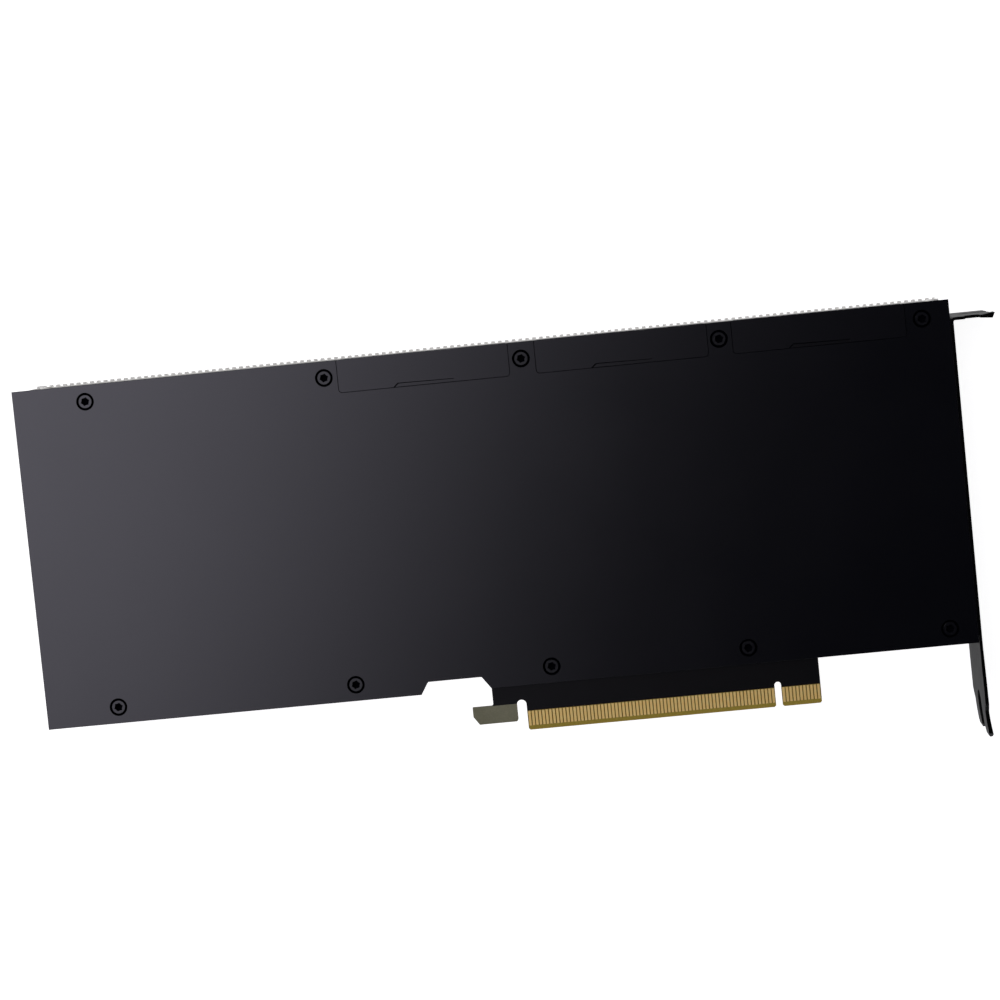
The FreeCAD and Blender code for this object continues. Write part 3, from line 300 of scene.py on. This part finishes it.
# spring steel
spring = Mat("spring_steel", metallic=1.0, rough=0.35)
g = spring.noise(1.0, 2, 0.5, spring.stretched(260, 6000, 6000))
spring.base(spring.ramp(g, [(0.3, grey(0.42)), (0.7, grey(0.52))]))
spring.rough(spring.remap(g, 0.3, 0.7, 0.28, 0.42))
spring.bump(g, 0.000002, 0.5)
use(spring, "retention_spring")

# package
sub = Mat("package_substrate", rough=0.4)
g = sub.noise(1400, 2)
sub.base(sub.ramp(g, [(0.3, (0.020, 0.085, 0.035)), (0.7, (0.030, 0.12, 0.055))]))
sub.bump(g, 0.000004, 0.3)
use(sub, "package_substrate")
sil = Mat("polished_silicon", metallic=0.6, rough=0.12)
g = sil.noise(60, 2)
sil.base(sil.ramp(g, [(0.3, (0.075, 0.075, 0.095)), (0.7, (0.11, 0.11, 0.14))]))
use(sil, "processor_die", "memory_stacks")
stiff = Mat("nickel_ring", metallic=1.0, rough=0.3)
g = stiff.noise(1.0, 2, 0.5, stiff.stretched(300, 5000, 5000))
stiff.base(stiff.ramp(g, [(0.3, (0.40, 0.39, 0.36)), (0.7, (0.50, 0.49, 0.46))]))
stiff.rough(stiff.remap(g, 0.3, 0.7, 0.25, 0.38))
use(stiff, "stiffener_frame")
paste = Mat("thermal_compound", rough=0.6)
g = paste.noise(500, 4, 0.6)
paste.base(paste.ramp(g, [(0.3, grey(0.34)), (0.7, grey(0.44))]))
paste.bump(g, 0.00003, 0.6)
use(paste, "thermal_compound")
padm = Mat("thermal_pad", rough=0.75, spec=0.3)
g = padm.noise(1500, 3, 0.6)
padm.base(padm.ramp(g, [(0.3, (0.34, 0.39, 0.46)), (0.7, (0.44, 0.49, 0.55))]))
padm.bump(g, 0.00002, 0.5)
use(padm, "thermal_pads")

# moulded packages, chokes, capacitors
chip = Mat("moulded_package", rough=0.55, spec=0.4)
g = chip.noise(3500, 3, 0.6)
chip.base(chip.ramp(g, [(0.3, grey(0.010)), (0.7, grey(0.020))]))
chip.bump(g, 0.000006, 0.6)
use(chip, "power_stages", "control_chips")
choke = Mat("pressed_powder", rough=0.7, spec=0.3)
g = choke.noise(2600, 4, 0.65)
choke.base(choke.ramp(g, [(0.3, grey(0.07)), (0.7, grey(0.13))]))
choke.bump(g, 0.00002, 0.7)
use(choke, "power_chokes")
capm = Mat("capacitor_body", rough=0.42)
g = capm.noise(700, 3)
capm.base(capm.ramp(g, [(0.3, (0.24, 0.13, 0.045)), (0.7, (0.32, 0.19, 0.075))]))
capm.bump(g, 0.000005, 0.4)
use(capm, "capacitors", "decoupling_capacitors")

# cooler
alloy = Mat("milled_alloy", metallic=1.0, rough=0.38)
g = alloy.noise(1.0, 3, 0.55, alloy.stretched(180, 5200, 5200))
c = alloy.noise(60, 2)
alloy.base(alloy.ramp(alloy.mix(0.35, g, c), [(0.3, grey(0.30)), (0.7, grey(0.40))]))
alloy.rough(alloy.remap(g, 0.3, 0.7, 0.30, 0.46))
alloy.bump(g, 0.000004, 0.5)
use(alloy, "base_frame")
copper = Mat("vapour_chamber_copper", metallic=1.0, rough=0.34)
g = copper.noise(90, 4, 0.6)
h = copper.noise(3000, 2)
copper.base(copper.ramp(g, [(0.3, (0.50, 0.22, 0.12)), (0.55, (0.62, 0.31, 0.18)), (0.75, (0.70, 0.38, 0.24))]))
copper.rough(copper.remap(g, 0.3, 0.7, 0.26, 0.46))
copper.bump(h, 0.000003, 0.4)
use(copper, "vapor_chamber")
fins = Mat("fin_aluminium", metallic=1.0, rough=0.32)
g = fins.noise(1.0, 3, 0.5, fins.stretched(90, 4200, 4200))
fins.base(fins.ramp(g, [(0.3, grey(0.56, (1, 1, 1.01))), (0.7, grey(0.70))]))
fins.rough(fins.remap(g, 0.3, 0.7, 0.26, 0.42))
use(fins, "fin_stack")

# power socket
sock = Mat("socket_housing", rough=0.38, spec=0.5)
g = sock.noise(2600, 2)
sock.base(sock.ramp(g, [(0.3, grey(0.010)), (0.7, grey(0.016))]))
sock.rough(sock.remap(g, 0.3, 0.7, 0.34, 0.46))
sock.bump(g, 0.000004, 0.4)
use(sock, "power_socket")
pin = Mat("tinned_pin", metallic=1.0, rough=0.3)
g = pin.noise(1.0, 2, 0.5, pin.stretched(500, 5000, 5000))
pin.base(pin.ramp(g, [(0.3, (0.62, 0.50, 0.30)), (0.7, (0.74, 0.62, 0.40))]))
pin.rough(pin.remap(g, 0.3, 0.7, 0.24, 0.38))
use(pin, "power_pins")

# end frames: black powder coat
end = Mat("powder_coat", rough=0.5, spec=0.45)
g = end.noise(2200, 3, 0.6)
end.base(end.ramp(g, [(0.3, grey(0.010)), (0.7, grey(0.016))]))
end.rough(end.remap(g, 0.3, 0.7, 0.44, 0.58))
end.bump(g, 0.00001, 0.6)
use(end, "rear_frame", "exhaust_frame")

# slot bracket: dark satin plated steel
brk = Mat("dark_plated_steel", metallic=1.0, rough=0.34)
brk.b.inputs["Specular Tint"].default_value = (0.055, 0.055, 0.060, 1.0)
g = brk.noise(1.0, 3, 0.55, brk.stretched(3200, 260, 3200))
c = brk.noise(150, 3)
brk.base(brk.ramp(brk.mix(0.4, g, c), [(0.3, grey(0.042, (1, 1, 1.04))), (0.7, grey(0.062, (1, 1, 1.04)))]))
# its cut edges that look out of the back plate's side are rubbed smooth
up_edge = brk.n("ShaderNodeSeparateXYZ")
brk.put(up_edge.inputs[0], brk.n("ShaderNodeTexCoord").outputs["Normal"])
brk.rough(brk.mix(brk.remap(up_edge.outputs[2], 0.6, 0.9, 0.0, 1.0), brk.remap(g, 0.3, 0.7, 0.27, 0.36), (0.13, 0.13, 0.13)))
brk.bump(g, 0.000003, 0.5)
use(brk, "slot_bracket")

# ribbed cover: light anodised extrusion
cov = Mat("light_anodised_cover", metallic=1.0, rough=0.42)
g = cov.noise(1.0, 3, 0.55, cov.stretched(3600, 150, 3600))
c = cov.noise(45, 3)
tone = cov.ramp(cov.mix(0.35, g, c), [(0.3, (0.53, 0.525, 0.515)), (0.7, (0.64, 0.635, 0.62))])
# painted shade: the walls' grazing reflection is darkened toward the back plate, standing in for the plate's shade;
# it shows only at a grazing view
cov.put(cov.b.inputs["Specular Tint"], cov.ramp(cov.remap(cov.axis("Z"), 0.0, 40 * mm, 0.0, 1.0),
        [(0.0, grey(0.80)), (0.06, grey(0.74)), (0.14, grey(0.50)), (0.22, grey(0.30)), (0.32, grey(0.15)), (0.46, grey(0.06))]))
# painted light: the ribs' small up-facing shoulders get a near-white, very rough, non-metal colour so they read as
# lit
shoulder = cov.n("ShaderNodeSeparateXYZ")
cov.put(shoulder.inputs[0], cov.n("ShaderNodeTexCoord").outputs["Normal"])
shoulder_painted_light = cov.remap(shoulder.outputs[2], 0.5, 0.8, 0.0, 1.0)
cov.base(cov.mix(shoulder_painted_light, tone, (0.98, 0.97, 0.95)))
cov.metal(cov.remap(shoulder_painted_light, 0.0, 1.0, 1.0, 0.0))
cov.rough(cov.mix(shoulder_painted_light, cov.remap(g, 0.3, 0.7, 0.34, 0.48), (0.95, 0.95, 0.95)))
cov.bump(g, 0.000004, 0.5)
use(cov, "shroud")

# ------------------------------------------------------------------ floor, world, lights
floor_mesh = bpy.data.meshes.new("floor")
bm = bmesh.new()
R = 14.0
ring = [bm.verts.new((R * math.cos(a), R * math.sin(a), -0.00015)) for a in [2 * math.pi * i / 64 for i in range(64)]]
bm.faces.new(ring)
bm.to_mesh(floor_mesh)
bm.free()
floor = bpy.data.objects.new("floor", floor_mesh)
bpy.context.scene.collection.objects.link(floor)
fm = Mat("floor_white", base=(0.8, 0.8, 0.8), rough=0.9, spec=0.0)
fm.b.inputs["Emission Color"].default_value = (1.0, 1.0, 1.0, 1.0)
fm.b.inputs["Emission Strength"].default_value = 0.93
floor_mesh.materials.append(fm.m)

# Studio: pale walls near the floor, a dark ceiling, and a large graded soft light up to the left.
world = bpy.data.worlds.new("studio")
bpy.context.scene.world = world
world.use_nodes = True
wt = world.node_tree
wt.nodes.clear()


def wn(kind, **props):
    node = wt.nodes.new(kind)
    for k, v in props.items():
        setattr(node, k, v)
    return node


def wput(socket, value):
    if isinstance(value, bpy.types.NodeSocket):
        wt.links.new(value, socket)
    else:
        socket.default_value = value


def wmath(op, a, b=0.0, clamp=False):
    node = wn("ShaderNodeMath", operation=op, use_clamp=clamp)
    wput(node.inputs[0], a)
    wput(node.inputs[1], b)
    return node.outputs[0]


def wramp(fac, stops, interp="LINEAR"):
    node = wn("ShaderNodeValToRGB")
    wput(node.inputs["Fac"], fac)
    cr = node.color_ramp
    cr.interpolation = interp
    cr.elements.remove(cr.elements[1])
    for k, (pos, v) in enumerate(stops):
        e = cr.elements[0] if k == 0 else cr.elements.new(pos)
        e.position = pos
        e.color = (v, v, v, 1.0)
    return node.outputs["Color"]


def wdot(vec, to):
    node = wn("ShaderNodeVectorMath", operation="DOT_PRODUCT")
    wput(node.inputs[0], vec)
    node.inputs[1].default_value = to
    return node.outputs["Value"]


sky = wn("ShaderNodeTexCoord").outputs["Generated"]
dz = wdot(sky, (0.0, 0.0, 1.0))
over = wmath("MAXIMUM", dz, 0.05)
along = wmath("DIVIDE", wdot(sky, (-0.935, 0.354, 0.0)), over)      # slope towards the soft light
aside = wmath("DIVIDE", wdot(sky, (0.354, 0.935, 0.0)), over)
T0, T1 = -0.25, 1.25
GRADE = [(-0.25, 0.0), (-0.06, 0.0), (-0.02, 0.008), (0.0, 0.055), (0.03, 0.34), (0.06, 0.82), (0.09, 1.40), (0.12, 1.90),
         (0.15, 2.24), (0.19, 2.50), (0.26, 2.8), (0.34, 2.0), (0.45, 0.5), (0.60, 0.0)]
SOFT_PEAK = 2.8
soft = wramp(wmath("DIVIDE", wmath("SUBTRACT", along, T0), T1 - T0, True),
             [((t - T0) / (T1 - T0), v / SOFT_PEAK) for t, v in GRADE])
side = wramp(wmath("ABSOLUTE", aside), [(0.0, 1.0), (0.16, 1.0), (0.40, 0.0)])
rise = wramp(dz, [(0.0, 0.0), (0.35, 0.0), (0.6, 1.0)])
soft = wmath("MULTIPLY", wmath("MULTIPLY", soft, side), rise)
# a second large soft light, lower and further round to the upper left
KEY = Vector((-0.62, 0.50, 0.60)).normalized()
KEY_PEAK = 1.5
key = wramp(wdot(sky, tuple(KEY)), [(0.0, 0.0), (0.80, 0.0), (0.93, 1.0), (1.0, 1.0)])
walls = wramp(dz, [(0.0, 0.16), (0.45, 0.14), (0.70, 0.05), (0.85, 0.008), (1.0, 0.005)])


def scaled(colour, amount):
    node = wn("ShaderNodeVectorMath", operation="SCALE")
    node.inputs[0].default_value = colour
    wput(node.inputs["Scale"], amount)
    return node.outputs[0]


def added(a, b):
    node = wn("ShaderNodeVectorMath", operation="ADD")
    wput(node.inputs[0], a)
    wput(node.inputs[1], b)
    return node.outputs[0]


total = added(added(scaled((1.0, 0.965, 1.13), wmath("MULTIPLY", soft, SOFT_PEAK)),
                    scaled((1.0, 0.99, 0.97), wmath("MULTIPLY", key, KEY_PEAK))),
              scaled((1.0, 1.0, 1.0), walls))
bg = wn("ShaderNodeBackground")
wput(bg.inputs["Color"], total)
bg.inputs["Strength"].default_value = 1.0
# the studio's far wall, as seen past the floor
pale = wn("ShaderNodeBackground")
pale.inputs["Color"].default_value = (0.93, 0.93, 0.94, 1.0)
pale.inputs["Strength"].default_value = 1.0
pick = wn("ShaderNodeMixShader")
wput(pick.inputs[0], wn("ShaderNodeLightPath").outputs["Is Camera Ray"])
wput(pick.inputs[1], bg.outputs[0])
wput(pick.inputs[2], pale.outputs[0])
wout = wn("ShaderNodeOutputWorld")
wput(wout.inputs["Surface"], pick.outputs[0])

bpy.context.scene.view_settings.view_transform = "Standard"
bpy.context.scene.view_settings.look = "None"
bpy.context.scene.view_settings.exposure = 0.0
bpy.context.scene.view_settings.gamma = 1.0
